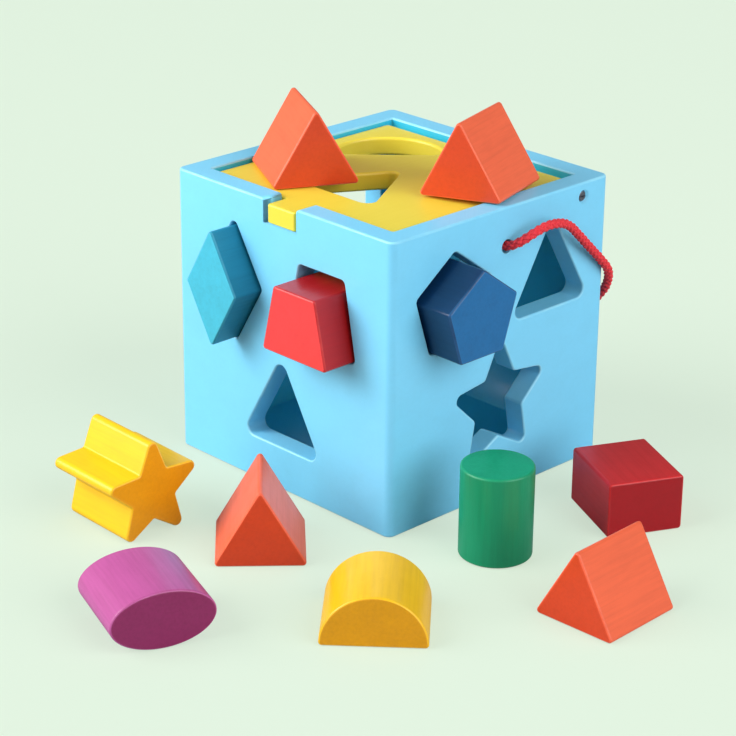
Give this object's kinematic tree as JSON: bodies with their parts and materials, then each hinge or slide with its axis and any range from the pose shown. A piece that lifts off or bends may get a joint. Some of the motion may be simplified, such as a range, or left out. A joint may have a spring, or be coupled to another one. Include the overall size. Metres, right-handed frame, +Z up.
{
  "type": "shape sorter",
  "caption": "Wooden shape-sorter box with a hinged lid, a rope handle, holes in every side and a set of painted blocks to post through them.",
  "frame": {"origin": "centre of the box's underside, on the table", "axes": "+Z up, -Y out of the front wall with the lid's finger tab, +X out of the right-hand wall"},
  "size_m": [0.3003, 0.3273, 0.1841],
  "materials": {
    "sky_blue_paint": "satin paint",
    "yellow_paint": "satin paint",
    "orange_paint": "satin paint",
    "teal_paint": "satin paint",
    "red_paint": "satin paint",
    "dark_red_paint": "satin paint",
    "navy_paint": "satin paint",
    "gold_paint": "satin paint",
    "purple_paint": "satin paint",
    "green_paint": "satin paint",
    "rope_red": "braided cotton",
    "screw_steel": "satin"
  },
  "bodies": {
    "box": {"front_wall": "sky_blue_paint", "back_wall": "sky_blue_paint", "left_wall": "sky_blue_paint", "right_wall": "sky_blue_paint", "base_panel": "sky_blue_paint", "carry_rope": "rope_red", "rope_knot_left": "rope_red", "rope_knot_right": "rope_red"},
    "lid": {"lid": "yellow_paint", "hinge_screw_left": "screw_steel", "hinge_screw_right": "screw_steel"},
    "rhombus": {"rhombus_block": "teal_paint"},
    "trapezoid": {"trapezoid_block": "red_paint"},
    "pentagon": {"pentagon_block": "navy_paint"},
    "left_lid_prism": {"prism_lid_left": "orange_paint"},
    "right_lid_prism": {"prism_lid_right": "orange_paint"},
    "front_prism": {"prism_front_left": "orange_paint"},
    "right_prism": {"prism_front_right": "orange_paint"},
    "half_round": {"half_round_block": "gold_paint"},
    "star": {"star_block": "gold_paint"},
    "ellipse": {"ellipse_block": "purple_paint"},
    "cylinder": {"cylinder_block": "green_paint"},
    "cuboid": {"rectangle_block": "dark_red_paint"}
  },
  "joints": [
    {"name": "lid_hinge", "type": "hinge", "parent": "box", "child": "lid", "pos_m": [0, 0.0556, 0.14025], "axis": [-1, 0, 0], "range_deg": [0, 100]},
    {"name": "rhombus_slide", "type": "slide", "parent": "box", "child": "rhombus", "axis": [0, -1, 0], "range_m": [-0.0275, 0.03]},
    {"name": "trapezoid_slide", "type": "slide", "parent": "box", "child": "trapezoid", "axis": [0, -1, 0], "range_m": [-0.027, 0.028]},
    {"name": "pentagon_slide", "type": "slide", "parent": "box", "child": "pentagon", "axis": [1, 0, 0], "range_m": [0, 0.027]},
    {"name": "left_lid_prism_lift", "type": "slide", "parent": "lid", "child": "left_lid_prism", "axis": [0, 0, 1], "range_m": [0, 0.03]},
    {"name": "right_lid_prism_lift", "type": "slide", "parent": "lid", "child": "right_lid_prism", "axis": [0, 0, 1], "range_m": [0, 0.03]},
    {"name": "front_prism_lift", "type": "slide", "parent": "box", "child": "front_prism", "axis": [0, 0, 1], "range_m": [0, 0.03]},
    {"name": "right_prism_lift", "type": "slide", "parent": "box", "child": "right_prism", "axis": [0, 0, 1], "range_m": [0, 0.03]},
    {"name": "half_round_lift", "type": "slide", "parent": "box", "child": "half_round", "axis": [0, 0, 1], "range_m": [0, 0.03]},
    {"name": "star_lift", "type": "slide", "parent": "box", "child": "star", "axis": [0, 0, 1], "range_m": [0, 0.03]},
    {"name": "ellipse_lift", "type": "slide", "parent": "box", "child": "ellipse", "axis": [0, 0, 1], "range_m": [0, 0.03]},
    {"name": "cylinder_lift", "type": "slide", "parent": "box", "child": "cylinder", "axis": [0, 0, 1], "range_m": [0, 0.03]},
    {"name": "cuboid_lift", "type": "slide", "parent": "box", "child": "cuboid", "axis": [0, 0, 1], "range_m": [0, 0.03]}
  ]
}
